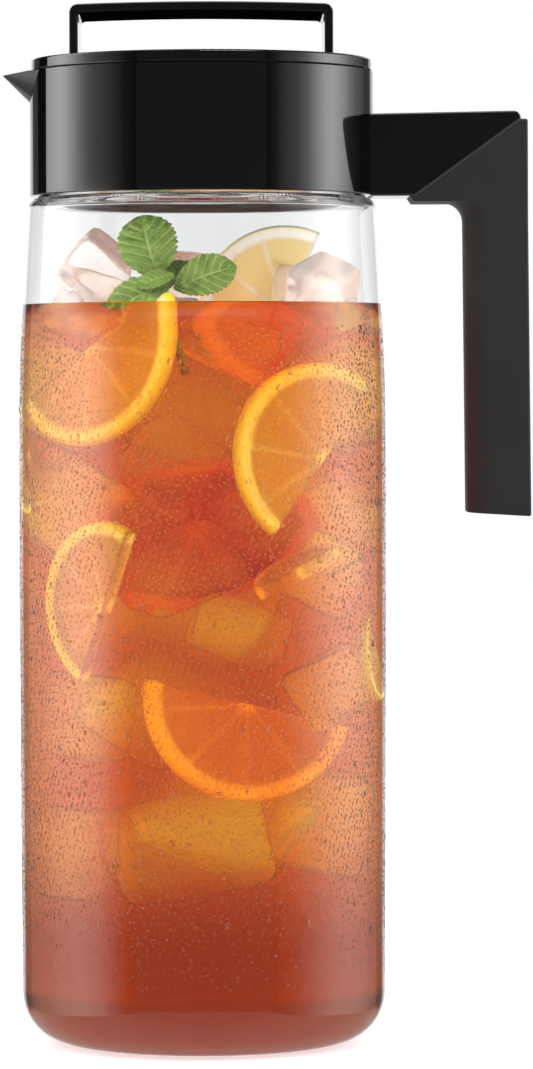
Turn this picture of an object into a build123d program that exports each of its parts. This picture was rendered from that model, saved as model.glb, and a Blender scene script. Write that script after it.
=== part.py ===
from build123d import *
import math
import os

os.makedirs("parts", exist_ok=True)

# A tall clear pitcher: a glass vessel, a black collar with a pouring beak, a box arm
# with a soft grip, and a lift-out lid with a wide strap loop.
# Sizes are in millimetres. +Z is up, the base stands on Z = 0 and Z is the vessel's axis.
# The beak points along -X and the handle along +X.

# Glass vessel
belly_radius = 53.85
foot_draft = 0.45
shoulder_draft = 2.75
shoulder_height = 248.4
belly_low = 130.0
belly_top = 181.0
taper_blend = 22.0
base_corner = 14.7
shoulder_round = 3.4
glass_wall = 3.0
base_thickness = 3.8
neck_height = 13.6
bead_rise = 5.6
bead_height = 3.0
bead_depth = 1.2

# Collar
collar_inset = 0.5
collar_wall = 2.4
collar_height = 36.5
collar_gap = 0.4
neck_gap = 3.2
flange_thickness = 2.5
rib_height = 1.4
rib_depth = 1.4
edge_round = 0.35

# Pouring beak, a cone whose sections are segments of a circle
beak_length = 8.8
beak_spread = 1.48
beak_fall = 1.01
beak_drop = 0.8
beak_wall = 2.4
beak_root = 4.4
beak_tip = 0.3

# Rings between glass and collar
mouth_gasket_height = 1.3
ring_play = 0.2
ring_height = 2.4
ring_split = 8.0

# Lid disc and plug
lid_gap = 0.3
lid_inset = 0.45
lid_thickness = 3.4
lid_round = 0.5
skirt_play = 2.2
skirt_wall = 1.6
step_rise = 1.5
step_thickness = 1.8
lower_skirt_play = 0.8
lower_skirt_wall = 2.6
lower_skirt_depth = 12.3
pour_width = 24.0
window_height = 9.1
strain_slots = 7
slot_width = 2.0
slot_pitch = 3.4
slot_top = 1.6

# Seals
sleeve_play = 0.4
snug_fit = 0.05
soft_play = 0.3
ring_seal_height = 2.4
ring_seal_rise = 3.3
seal_groove = 1.3
leg_seal_height = 1.2
leg_seal_width = 1.5

# Strap loop on the lid
loop_inset = 5.9
loop_depth = 38.0
strap_thickness = 2.55
loop_rise = 15.25
loop_crown = 0.77
loop_outer_round = 2.6
loop_inner_round = 1.6
loop_edge_round = 0.55
slot_play = 0.25
leg_reach = 2.8
stop_pin_radius = 0.9
stop_pin_length = 5.6
stop_pin_spread = 24.0

# Handle arm and grip
arm_half_width = 11.6
arm_length = 43.0
arm_height = 24.1
arm_rise = 0.8
arm_drop = 0.4
arm_corner = 2.2
arm_edge_round = 0.7
slant_length = 31.1
joint_drop = 2.4
grip_half_width = 12.0
grip_proud = 2.0
grip_flare = 0.7
grip_thickness = 18.6
grip_lap = 1.6
grip_bevel = 1.7
grip_bottom = 154.4
grip_bottom_slope = 1.2
grip_throat_round = 5.5
grip_inner_round = 7.0
grip_edge_round = 0.7
core_half_width = 5.5
tang_height = 11.0
tang_rise = 6.2
core_thickness = 8.0
core_setback = 5.0
core_end_gap = 8.0
foot_wall = 2.0

# Screws
screw_radius = 1.5
screw_head_radius = 2.6
screw_head_height = 1.4
handle_screw_length = 18.0
handle_screw_spread = 6.4
handle_screw_rise = 10.9
lid_screw_radius = 1.25
lid_screw_head_radius = 2.0
lid_screw_head_height = 1.2
lid_screw_bite = 2.0
lid_screw_count = 4
boss_radius = 2.4
recess_play = 0.1

# Heights and radii that follow from the sizes above
foot_radius = belly_radius - foot_draft
shoulder_radius = belly_radius - shoulder_draft
inner_corner = base_corner - glass_wall
collar_radius = shoulder_radius - collar_inset
collar_bore = collar_radius - collar_wall
neck_radius = collar_bore - neck_gap
mouth_radius = neck_radius - glass_wall
neck_top = shoulder_height + neck_height
bead_bottom = shoulder_height + bead_rise
collar_bottom = shoulder_height + collar_gap
collar_top = collar_bottom + collar_height
beak_reach = collar_radius + beak_length
flange_bottom = neck_top + mouth_gasket_height
flange_top = flange_bottom + flange_thickness
ring_bottom = bead_bottom - ring_height
lid_bottom = collar_top + lid_gap
lid_top = lid_bottom + lid_thickness
lid_radius = collar_radius - lid_inset
skirt_radius = collar_bore - skirt_play
skirt_bore = skirt_radius - skirt_wall
step_bottom = flange_top + step_rise
step_top = step_bottom + step_thickness
lower_skirt_radius = mouth_radius - lower_skirt_play
lower_skirt_bore = lower_skirt_radius - lower_skirt_wall
lower_skirt_bottom = step_bottom - lower_skirt_depth
lid_screw_circle = skirt_radius - boss_radius
lid_screw_turn = 180 / lid_screw_count
loop_half_width = skirt_bore - loop_inset
strap_top = lid_top + loop_rise
strap_bottom = strap_top - strap_thickness
leg_bottom = lid_bottom - leg_reach
arm_bottom = collar_bottom - arm_drop
arm_root_top = arm_bottom + arm_height
arm_end_top = arm_root_top + arm_rise
arm_reach = collar_radius + arm_length
joint_start = arm_reach - slant_length
joint_top = arm_end_top - joint_drop
grip_outer = arm_reach + grip_proud
grip_inner = grip_outer - grip_thickness


def circles_at(part, height, radius):
    """The circular edges of a part at one height and one radius about Z."""
    return (
        part.edges()
        .filter_by(GeomType.CIRCLE)
        .filter_by(lambda e: abs(e.arc_center.Z - height) < 0.01 and abs(e.radius - radius) < 0.01)
    )


def write(piece, name):
    """Names a finished piece and saves it under that name."""
    piece.part.label = name
    export_step(piece.part, f"parts/{name}.step")


# Glass vessel, turned from one profile: outside up to the lip, inside down to the floor
with BuildPart() as vessel:
    with BuildSketch(Plane.XZ) as vessel_profile:
        with BuildLine():
            floor = Line((0, 0), (foot_radius - base_corner, 0))
            heel = TangentArc(floor @ 1, (foot_radius, base_corner), tangent=(1, 0))
            Line(heel @ 1, (belly_radius, belly_low))
            Line((belly_radius, belly_low), (belly_radius, belly_top))
            taper = Bezier(
                (belly_radius, belly_top),
                (belly_radius, belly_top + taper_blend),
                (shoulder_radius, shoulder_height),
            )
            neck_line = Polyline(
                taper @ 1,
                (neck_radius, shoulder_height),
                (neck_radius, bead_bottom),
                (neck_radius + bead_depth, bead_bottom),
                (neck_radius + bead_depth, bead_bottom + bead_height),
                (neck_radius, bead_bottom + bead_height),
                (neck_radius, neck_top),
                (mouth_radius, neck_top),
                (mouth_radius, shoulder_height - glass_wall),
                (shoulder_radius - glass_wall, shoulder_height - glass_wall),
            )
            inner_taper = Bezier(
                neck_line @ 1,
                (belly_radius - glass_wall, belly_top + taper_blend),
                (belly_radius - glass_wall, belly_top),
            )
            inner_wall = Polyline(
                inner_taper @ 1,
                (belly_radius - glass_wall, belly_low),
                (foot_radius - glass_wall, base_thickness + inner_corner),
            )
            inner_heel = TangentArc(
                inner_wall @ 1,
                (foot_radius - base_corner, base_thickness),
                tangent=(0, -1),
            )
            Polyline(inner_heel @ 1, (0, base_thickness), (0, 0))
        make_face()
    revolve(axis=Axis.Z)
    fillet(circles_at(vessel, shoulder_height, shoulder_radius), shoulder_round)
    fillet(
        circles_at(vessel, shoulder_height - glass_wall, shoulder_radius - glass_wall),
        shoulder_round,
    )
    fillet(circles_at(vessel, shoulder_height - glass_wall, mouth_radius), glass_wall / 2)
    fillet(circles_at(vessel, neck_top, mouth_radius), glass_wall / 4)
    fillet(circles_at(vessel, neck_top, neck_radius), glass_wall / 4)
write(vessel, "vessel")

# Flat silicone gasket between the glass lip and the collar's flange
with BuildPart() as mouth_gasket:
    with BuildSketch(Plane.XY.offset(neck_top)):
        Circle(collar_bore - ring_play)
        Circle(mouth_radius + ring_play, mode=Mode.SUBTRACT)
    extrude(amount=mouth_gasket_height)
write(mouth_gasket, "mouth_gasket")

# Split ring that snaps under the glass bead and holds the collar down
with BuildPart() as retaining_ring:
    with BuildSketch(Plane.XY.offset(ring_bottom)):
        Circle(collar_bore - ring_play)
        Circle(neck_radius + ring_play, mode=Mode.SUBTRACT)
        with Locations((-neck_radius, 0)):
            Rectangle(neck_radius / 2, ring_split, mode=Mode.SUBTRACT)
    extrude(amount=ring_height)
write(retaining_ring, "retaining_ring")


def beak_section(reach, run):
    """One cross-section of a beak's cone, at a distance run behind its tip at X = -reach."""
    with BuildSketch(
        Plane(origin=(run - reach, 0, collar_top), x_dir=(0, 1, 0), z_dir=(-1, 0, 0))
    ) as section:
        with BuildLine():
            bow = ThreePointArc(
                (-beak_spread * run, 0), (0, beak_fall * run), (beak_spread * run, 0)
            )
            Line(bow @ 1, bow @ 0)
        make_face()
    return section.sketch


def beak_sections(reach):
    """The two ends of a beak's cone, from its tip to its root inside the collar."""
    return [beak_section(reach, run) for run in (beak_tip, reach - collar_bore + beak_root)]


# Collar: ring with a flange over the glass lip, a rib for the split ring, and the beak
with BuildPart() as collar:
    loft(beak_sections(beak_reach))
    with BuildSketch(Plane.XZ):
        with BuildLine():
            Polyline(
                (-collar_radius, collar_top),
                (-beak_reach, collar_top - beak_drop),
                (-beak_reach - edge_round, collar_top - beak_drop),
                (-beak_reach - edge_round, collar_top + edge_round),
                (-collar_radius, collar_top + edge_round),
                close=True,
            )
        make_face()
    extrude(amount=collar_radius, both=True, mode=Mode.SUBTRACT)
    with BuildSketch(Plane.XY.offset(collar_bottom)):
        Circle((collar_bore + collar_radius) / 2)
    extrude(amount=collar_height, mode=Mode.SUBTRACT)
    with BuildSketch(Plane.XZ):
        with BuildLine():
            Polyline(
                (collar_radius, collar_bottom),
                (collar_radius, collar_top),
                (collar_bore, collar_top),
                (collar_bore, flange_top),
                (mouth_radius, flange_top),
                (mouth_radius, flange_bottom),
                (collar_bore, flange_bottom),
                (collar_bore, ring_bottom),
                (collar_bore - rib_depth, ring_bottom),
                (collar_bore - rib_depth, ring_bottom - rib_height),
                (collar_bore, ring_bottom - rib_height),
                (collar_bore, collar_bottom),
                close=True,
            )
        make_face()
    revolve(axis=Axis.Z)
    loft(beak_sections(beak_reach - beak_wall), mode=Mode.SUBTRACT)
    fillet(circles_at(collar, collar_bottom, collar_radius), edge_round)
    with BuildSketch(Plane.YZ.offset(neck_radius)):
        with Locations((0, shoulder_height + handle_screw_rise)):
            with GridLocations(handle_screw_spread, 0, 2, 1):
                Circle(screw_radius + snug_fit)
    extrude(amount=collar_radius - neck_radius + 1, mode=Mode.SUBTRACT)
write(collar, "collar")

# Stiff core: a tang inside the arm and a bar down the middle of the grip
tang_bottom = arm_bottom + tang_rise
core_front = grip_outer - core_setback
with BuildPart() as handle_core:
    with BuildSketch(Plane.XZ):
        with BuildLine():
            Polyline(
                (collar_radius + foot_wall, tang_bottom),
                (collar_radius + foot_wall, tang_bottom + tang_height),
                (core_front, tang_bottom + tang_height),
                (core_front, grip_bottom + core_end_gap),
                (core_front - core_thickness, grip_bottom + core_end_gap),
                (core_front - core_thickness, tang_bottom),
                close=True,
            )
        make_face()
    extrude(amount=core_half_width, both=True)
    fillet(handle_core.edges().filter_by(Axis.Y), edge_round)
    core_blank = handle_core.part
    with BuildSketch(Plane.YZ.offset(collar_radius)):
        with Locations((0, shoulder_height + handle_screw_rise)):
            with GridLocations(handle_screw_spread, 0, 2, 1):
                Circle(screw_radius + snug_fit)
    extrude(amount=handle_screw_length, mode=Mode.SUBTRACT)
write(handle_core, "handle_core")

# Glossy box arm, cut to the collar's round and slanted where the grip begins
with BuildPart() as handle_arm:
    with BuildSketch(Plane.XZ):
        with BuildLine():
            Polyline(
                (collar_bore, arm_bottom),
                (joint_start, arm_bottom),
                (arm_reach, joint_top),
                (arm_reach, arm_end_top),
                (collar_bore, arm_root_top),
                close=True,
            )
        make_face()
    extrude(amount=arm_half_width, both=True)
    fillet(
        handle_arm.edges().filter_by(Axis.Y).group_by(Axis.Z)[-1],
        arm_corner,
    )
    fillet(
        handle_arm.faces().sort_by(Axis.Y)[0].edges() + handle_arm.faces().sort_by(Axis.Y)[-1].edges(),
        arm_edge_round,
    )
    with BuildSketch(Plane.XY.offset(arm_bottom - 1)):
        Circle(collar_radius)
    extrude(amount=arm_height + arm_rise + 2, mode=Mode.SUBTRACT)
    add(core_blank, mode=Mode.SUBTRACT)
    with BuildSketch(Plane.YZ.offset(neck_radius)):
        with Locations((0, shoulder_height + handle_screw_rise)):
            with GridLocations(handle_screw_spread, 0, 2, 1):
                Circle(screw_radius + snug_fit)
    extrude(amount=collar_radius - neck_radius + foot_wall + 1, mode=Mode.SUBTRACT)
write(handle_arm, "handle_arm")


def grip_section(height, inner, outer):
    """One level section of the grip's post: flat outside, well rounded towards the fingers."""
    with BuildSketch(Plane.XY.offset(height)) as section:
        with Locations((inner, 0)):
            Rectangle(outer - inner, 2 * grip_half_width, align=(Align.MIN, Align.CENTER))
        fillet(section.vertices().group_by(Axis.X)[0], grip_inner_round)
        fillet(section.vertices().group_by(Axis.X)[-1], grip_edge_round)
    return section.sketch


# Soft grip, moulded over the core: a wedge under the slant and a rounded post whose
# throat widens into the wedge on a quarter circle
grip_under = arm_bottom - grip_bevel
throat_low = grip_under - grip_throat_round
with BuildPart() as grip:
    with BuildSketch(Plane.XZ) as grip_profile:
        with BuildLine():
            Polyline(
                (joint_start - grip_lap, arm_bottom),
                (joint_start, arm_bottom),
                (arm_reach, joint_top),
                (grip_outer, joint_top),
                (grip_outer, grip_under),
                (joint_start - grip_lap / 4, grip_under),
                close=True,
            )
        make_face()
    extrude(amount=grip_half_width, both=True)
    fillet(grip.edges().filter_by(Axis.Z).group_by(Axis.X)[-1], grip_edge_round)
    fillet(grip.edges().filter_by(Axis.Y).sort_by(Axis.Z)[-1], grip_edge_round)
    loft(
        [
            grip_section(grip_bottom, grip_inner + grip_flare, grip_outer + grip_flare),
            grip_section(throat_low, grip_inner, grip_outer),
        ]
    )
    loft(
        [
            grip_section(
                throat_low + grip_throat_round * math.sin(math.radians(turn)),
                grip_inner - grip_throat_round * (1 - math.cos(math.radians(turn))),
                grip_outer,
            )
            for turn in range(0, 91, 15)
        ],
        ruled=True,
    )
    with BuildSketch(Plane.XZ):
        with BuildLine():
            Polyline(
                (grip_inner - grip_edge_round, grip_bottom - grip_bottom_slope),
                (grip_outer + grip_flare, grip_bottom),
                (grip_inner - grip_edge_round, grip_bottom + grip_bottom_slope),
                close=True,
            )
        make_face()
    extrude(amount=2 * grip_half_width, both=True, mode=Mode.SUBTRACT)
    fillet(grip.faces().sort_by(Axis.Z)[0].edges(), grip_edge_round)
    add(core_blank, mode=Mode.SUBTRACT)
write(grip, "grip")

# Two screws from inside the collar, through the arm's foot and into the core
with BuildPart() as handle_screws:
    screw_seat = math.sqrt(collar_bore**2 - (handle_screw_spread / 2 + screw_head_radius) ** 2)
    head_plane = Plane.YZ.offset(screw_seat - screw_head_height)
    for radius, depth in ((screw_head_radius, screw_head_height), (screw_radius, handle_screw_length)):
        with BuildSketch(head_plane):
            with Locations((0, shoulder_height + handle_screw_rise)):
                with GridLocations(handle_screw_spread, 0, 2, 1):
                    Circle(radius)
        extrude(amount=depth)
write(handle_screws, "handle_screws")

# Lid disc with two slots for the loop's legs
leg_middle = loop_half_width - strap_thickness / 2
with BuildPart() as lid_disc:
    with BuildSketch(Plane.XY.offset(lid_bottom)):
        Circle(lid_radius)
    extrude(amount=lid_thickness)
    fillet(circles_at(lid_disc, lid_top, lid_radius), lid_round)
    fillet(circles_at(lid_disc, lid_bottom, lid_radius), edge_round)
    with BuildSketch(Plane.XY.offset(lid_bottom)):
        with GridLocations(2 * leg_middle, 0, 2, 1):
            RectangleRounded(
                strap_thickness + 2 * slot_play,
                loop_depth + 2 * slot_play,
                strap_thickness / 3,
            )
    extrude(amount=lid_thickness, mode=Mode.SUBTRACT)
    with BuildSketch(Plane.XY.offset(lid_bottom)):
        with GridLocations(2 * leg_middle, 0, 2, 1):
            Rectangle(
                strap_thickness + 2 * (soft_play + leg_seal_width),
                loop_depth + 2 * (soft_play + leg_seal_width),
            )
    extrude(amount=leg_seal_height, mode=Mode.SUBTRACT)
    with BuildSketch(Plane.XY.offset(lid_bottom)):
        with PolarLocations(lid_screw_circle, lid_screw_count, start_angle=lid_screw_turn):
            Circle(lid_screw_radius + snug_fit)
    extrude(amount=lid_screw_bite + snug_fit, mode=Mode.SUBTRACT)
write(lid_disc, "lid_disc")

# Silicone seals that wipe the loop's legs where they pass the disc
with BuildPart() as leg_seals:
    with BuildSketch(Plane.XY.offset(lid_bottom)):
        with GridLocations(2 * leg_middle, 0, 2, 1):
            Rectangle(
                strap_thickness + 2 * (soft_play + leg_seal_width),
                loop_depth + 2 * (soft_play + leg_seal_width),
            )
            Rectangle(
                strap_thickness + 2 * soft_play,
                loop_depth + 2 * soft_play,
                mode=Mode.SUBTRACT,
            )
    extrude(amount=leg_seal_height)
write(leg_seals, "leg_seals")

# Plug under the disc: upper skirt with the pour window and the strainer, step, lower skirt
with BuildPart() as lid_plug:
    with BuildSketch(Plane.XZ):
        with BuildLine():
            Polyline(
                (skirt_radius, lid_bottom),
                (skirt_bore, lid_bottom),
                (skirt_bore, step_top),
                (lower_skirt_bore, step_top),
                (lower_skirt_bore, lower_skirt_bottom),
                (lower_skirt_radius, lower_skirt_bottom),
                (lower_skirt_radius, lower_skirt_bottom + ring_seal_rise - soft_play),
                (lower_skirt_radius - seal_groove, lower_skirt_bottom + ring_seal_rise - soft_play),
                (
                    lower_skirt_radius - seal_groove,
                    lower_skirt_bottom + ring_seal_rise + ring_seal_height + soft_play,
                ),
                (
                    lower_skirt_radius,
                    lower_skirt_bottom + ring_seal_rise + ring_seal_height + soft_play,
                ),
                (lower_skirt_radius, step_bottom),
                (skirt_radius + skirt_play / 2, step_bottom),
                (skirt_radius + skirt_play / 2, step_top),
                (skirt_radius, step_top),
                close=True,
            )
        make_face()
    revolve(axis=Axis.Z)
    with BuildSketch(Plane.XY.offset(step_top)):
        with PolarLocations(lid_screw_circle, lid_screw_count, start_angle=lid_screw_turn):
            Circle(boss_radius)
    extrude(amount=lid_bottom - step_top)
    with BuildSketch(Plane.YZ.offset(-skirt_radius - 1)):
        with Locations((0, lid_bottom)):
            Rectangle(pour_width, window_height, align=(Align.CENTER, Align.MAX))
    extrude(amount=skirt_radius / 2, mode=Mode.SUBTRACT)
    with BuildSketch(Plane.YZ.offset(skirt_radius / 2)):
        with Locations((0, lid_bottom - slot_top)):
            with GridLocations(slot_pitch, 0, strain_slots, 1):
                Rectangle(slot_width, window_height - slot_top, align=(Align.CENTER, Align.MAX))
    extrude(amount=skirt_radius / 2 + 1, mode=Mode.SUBTRACT)
    with BuildSketch(Plane.XY.offset(step_bottom)):
        with PolarLocations(lid_screw_circle, lid_screw_count, start_angle=lid_screw_turn):
            Circle(lid_screw_radius + snug_fit)
    extrude(amount=lid_bottom - step_bottom, mode=Mode.SUBTRACT)
    with BuildSketch(Plane.XY.offset(step_bottom)):
        with PolarLocations(lid_screw_circle, lid_screw_count, start_angle=lid_screw_turn):
            Circle(lid_screw_head_radius + recess_play)
    extrude(amount=lid_screw_head_height, mode=Mode.SUBTRACT)
write(lid_plug, "lid_plug")

# Silicone sleeve round the upper skirt, open at the pour window and the strainer
with BuildPart() as lid_sleeve:
    with BuildSketch(Plane.XY.offset(step_top)):
        Circle(collar_bore - sleeve_play)
        Circle(skirt_radius + snug_fit, mode=Mode.SUBTRACT)
    extrude(amount=lid_bottom - step_top - soft_play)
    with BuildSketch(Plane.YZ.offset(-collar_radius)):
        with Locations((0, lid_bottom)):
            Rectangle(pour_width, window_height, align=(Align.CENTER, Align.MAX))
    extrude(amount=2 * collar_radius, mode=Mode.SUBTRACT)
write(lid_sleeve, "lid_sleeve")

# Ring seal in the lower skirt's groove, against the glass mouth
with BuildPart() as ring_seal:
    with BuildSketch(Plane.XY.offset(lower_skirt_bottom + ring_seal_rise)):
        Circle(mouth_radius - soft_play)
        Circle(lower_skirt_radius - seal_groove + soft_play, mode=Mode.SUBTRACT)
    extrude(amount=ring_seal_height)
    fillet(circles_at(ring_seal, lower_skirt_bottom + ring_seal_rise, mouth_radius - soft_play), soft_play)
write(ring_seal, "ring_seal")

# Screws that hold the plug to the disc from below
with BuildPart() as lid_screws:
    for radius, height in (
        (lid_screw_head_radius, lid_screw_head_height),
        (lid_screw_radius, lid_bottom - step_bottom + lid_screw_bite),
    ):
        with BuildSketch(Plane.XY.offset(step_bottom)):
            with PolarLocations(lid_screw_circle, lid_screw_count, start_angle=lid_screw_turn):
                Circle(radius)
        extrude(amount=height)
write(lid_screws, "lid_screws")

# Wide strap loop, lightly crowned on top, whose legs slide through the disc
with BuildPart() as loop_handle:
    with BuildSketch(Plane.XZ) as loop_profile:
        loop_inner = loop_half_width - strap_thickness
        with BuildLine():
            crown = ThreePointArc(
                (-loop_half_width, strap_top),
                (0, strap_top + loop_crown),
                (loop_half_width, strap_top),
            )
            Polyline(
                crown @ 1,
                (loop_half_width, leg_bottom),
                (loop_inner, leg_bottom),
                (loop_inner, strap_bottom),
            )
            under = ThreePointArc(
                (loop_inner, strap_bottom),
                (0, strap_bottom + loop_crown),
                (-loop_inner, strap_bottom),
            )
            Polyline(
                under @ 1,
                (-loop_inner, leg_bottom),
                (-loop_half_width, leg_bottom),
                (-loop_half_width, strap_top),
            )
        make_face()
        corners = loop_profile.vertices().filter_by(lambda v: v.Y > strap_bottom - 0.1)
        fillet(corners.filter_by(lambda v: abs(v.X) > loop_half_width - 0.1), loop_outer_round)
        corners = loop_profile.vertices().filter_by(
            lambda v: abs(v.Y - strap_bottom) < 0.1 and abs(abs(v.X) - loop_inner) < 0.1
        )
        fillet(corners, loop_inner_round)
    extrude(amount=loop_depth / 2, both=True)
    fillet(
        loop_handle.faces().sort_by(Axis.Y)[0].edges() + loop_handle.faces().sort_by(Axis.Y)[-1].edges(),
        loop_edge_round,
    )
    with BuildSketch(Plane.YZ.offset(-loop_half_width)):
        with Locations((0, lid_bottom - soft_play - stop_pin_radius)):
            with GridLocations(stop_pin_spread, 0, 2, 1):
                Circle(stop_pin_radius)
    extrude(amount=2 * loop_half_width, mode=Mode.SUBTRACT)
write(loop_handle, "loop_handle")

# Cross pins in the loop's feet, which stop it under the disc when it is pulled up
with BuildPart() as stop_pins:
    for side in (-1, 1):
        with BuildSketch(Plane.YZ.offset(side * leg_middle - stop_pin_length / 2)):
            with Locations((0, lid_bottom - soft_play - stop_pin_radius)):
                with GridLocations(stop_pin_spread, 0, 2, 1):
                    Circle(stop_pin_radius)
        extrude(amount=stop_pin_length)
write(stop_pins, "stop_pins")
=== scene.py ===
import math

import bpy
import numpy as np
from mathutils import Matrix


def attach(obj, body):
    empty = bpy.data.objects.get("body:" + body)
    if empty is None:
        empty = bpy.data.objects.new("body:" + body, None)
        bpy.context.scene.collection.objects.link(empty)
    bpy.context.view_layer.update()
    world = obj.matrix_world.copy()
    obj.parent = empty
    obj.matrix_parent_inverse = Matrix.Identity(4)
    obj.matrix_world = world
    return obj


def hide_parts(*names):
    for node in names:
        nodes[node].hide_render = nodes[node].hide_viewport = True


# A tall clear pitcher of iced lemon tea, with a glossy black collar and lid and a soft grip.
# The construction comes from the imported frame. This script gives every surface its finish,
# draws the glass finely and fills it: tea, ice, lemon, mint and the dew on the outside.
# Lengths in the dictionaries are millimetres, and each mesh is written in metres.

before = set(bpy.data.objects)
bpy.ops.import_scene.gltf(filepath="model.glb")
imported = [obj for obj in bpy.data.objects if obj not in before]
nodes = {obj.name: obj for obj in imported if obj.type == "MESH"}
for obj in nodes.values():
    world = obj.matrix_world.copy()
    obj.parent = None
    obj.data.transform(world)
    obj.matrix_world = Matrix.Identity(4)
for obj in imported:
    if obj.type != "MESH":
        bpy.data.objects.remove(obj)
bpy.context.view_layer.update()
mm = 0.001
print("frame loaded:", len(nodes), "nodes")


# Colours and nodes

def linearColour(hexText):
    # the sRGB value that an artist reads off a screen, turned into the linear one that shaders use
    channels = np.array([int(hexText[i:i + 2], 16) for i in (1, 3, 5)]) / 255
    values = np.where(channels <= 0.04045, channels / 12.92, ((channels + 0.055) / 1.055) ** 2.4)
    return (*values.tolist(), 1.0)


def newMaterial(name):
    material = bpy.data.materials.new(name)
    material.use_nodes = True
    material.node_tree.nodes.clear()
    return material


def addNode(owner, kind, inputs=None, links=None, **settings):
    # one node with its settings, its fixed inputs and its links, given as input: (node, output)
    node = owner.node_tree.nodes.new(kind)
    for key, value in settings.items():
        setattr(node, key, value)
    for key, value in (inputs or {}).items():
        node.inputs[key].default_value = value
    for key, (source, output) in (links or {}).items():
        owner.node_tree.links.new(source.outputs[output], node.inputs[key])
    return node


def mixShaders(owner, factor, first, second):
    # two shaders mixed by a node's first output, or by a plain number
    mix = addNode(owner, "ShaderNodeMixShader")
    if isinstance(factor, float):
        mix.inputs[0].default_value = factor
    else:
        owner.node_tree.links.new(factor.outputs[0], mix.inputs[0])
    owner.node_tree.links.new(first.outputs[0], mix.inputs[1])
    owner.node_tree.links.new(second.outputs[0], mix.inputs[2])
    return mix


def withSurface(material, shader):
    # the finished material, with this shader on its surface
    addNode(material, "ShaderNodeOutputMaterial", links={"Surface": (shader, 0)})
    return material


def addNoise(owner, place, scale, detail):
    # a cloudy pattern that stays with the object
    return addNode(owner, "ShaderNodeTexNoise", {"Scale": scale, "Detail": detail},
                   {"Vector": (place, "Object")})


def remap(owner, source, start, end, low=0.0, high=1.0, shape="LINEAR"):
    # a (node, output) carried from start and end to low and high, and held between those
    return addNode(owner, "ShaderNodeMapRange",
                   {"From Min": start, "From Max": end, "To Min": low, "To Max": high},
                   {"Value": source}, interpolation_type=shape)


def setRamp(node, stops):
    # the stops of a colour ramp, as (place, hex colour)
    ramp = node.color_ramp
    while len(ramp.elements) < len(stops):
        ramp.elements.new(0.5)
    for element, (place, colour) in zip(ramp.elements, stops):
        element.position = place
        element.color = linearColour(colour)


# Meshes from arrays

def gridMesh(points, closeColumns=True):
    # A grid of points, rows by columns, becomes vertices and four-sided faces. A first or last row
    # that shrinks to one point becomes a pole with three-sided faces.
    rows, columns = points.shape[:2]
    index = np.arange(rows * columns).reshape(rows, columns)
    for row in (0, rows - 1):
        if np.ptp(points[row], axis=0).max() < 1e-7:
            index[row] = index[row, 0]
    if closeColumns:
        index = np.hstack([index, index[:, :1]])
    quads = np.stack([index[:-1, :-1], index[:-1, 1:], index[1:, 1:], index[1:, :-1]], axis=-1)
    used, quads = np.unique(quads.reshape(-1, 4), return_inverse=True)
    faces = [list(dict.fromkeys(face)) for face in quads.reshape(-1, 4).tolist()]
    return points.reshape(-1, 3)[used], faces, used


def addObject(name, data):
    # an object at the origin, linked to the scene
    item = bpy.data.objects.new(name, data)
    bpy.context.scene.collection.objects.link(item)
    return item


def newPiece(name, vertices, faces, body, *materials, slot=None, attributes=None):
    # vertices come in millimetres; attributes are arrays with one vector for each vertex
    mesh = bpy.data.meshes.new(name)
    mesh.from_pydata((np.asarray(vertices) * mm).tolist(), [], faces)
    mesh.polygons.foreach_set("use_smooth", np.ones(len(faces), bool))
    for key, values in (attributes or {}).items():
        layer = mesh.attributes.new(key, "FLOAT_VECTOR", "POINT")
        layer.data.foreach_set("vector", np.asarray(values, np.float32).ravel())
    for material in materials:
        mesh.materials.append(material)
    mesh.update()
    piece = addObject(name, mesh)
    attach(piece, body)
    return piece


def lathe(profile, turns):
    # every profile point (radius, height) goes round Z: x = r cos a, y = r sin a
    angle = np.linspace(0, 2 * math.pi, turns, endpoint=False)
    radius, height = profile[:, :1], profile[:, 1:]
    return gridMesh(np.stack([radius * np.cos(angle), radius * np.sin(angle),
                              height + 0 * angle], axis=-1))


def arc(centre, radius, start, end, count):
    # points on a circle between two angles in degrees, in the profile's own plane
    angle = np.radians(np.linspace(start, end, count))
    return np.stack([centre[0] + radius * np.cos(angle), centre[1] + radius * np.sin(angle)], -1)


def curveThrough(start, control, end, count):
    # a quadratic curve: (1-t)^2 start + 2t(1-t) control + t^2 end
    t = np.linspace(0, 1, count)[:, None]
    start, control, end = (np.array(p, float) for p in (start, control, end))
    return (1 - t) ** 2 * start + 2 * t * (1 - t) * control + t ** 2 * end


def turned(angles):
    # the matrix that turns a column vector about X, then Y, then Z, in degrees
    a, b, c = np.radians(angles)
    aboutX = np.array([[1, 0, 0], [0, math.cos(a), -math.sin(a)], [0, math.sin(a), math.cos(a)]])
    aboutY = np.array([[math.cos(b), 0, math.sin(b)], [0, 1, 0], [-math.sin(b), 0, math.cos(b)]])
    aboutZ = np.array([[math.cos(c), -math.sin(c), 0], [math.sin(c), math.cos(c), 0], [0, 0, 1]])
    return aboutZ @ aboutY @ aboutX


# Materials of the construction

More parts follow.
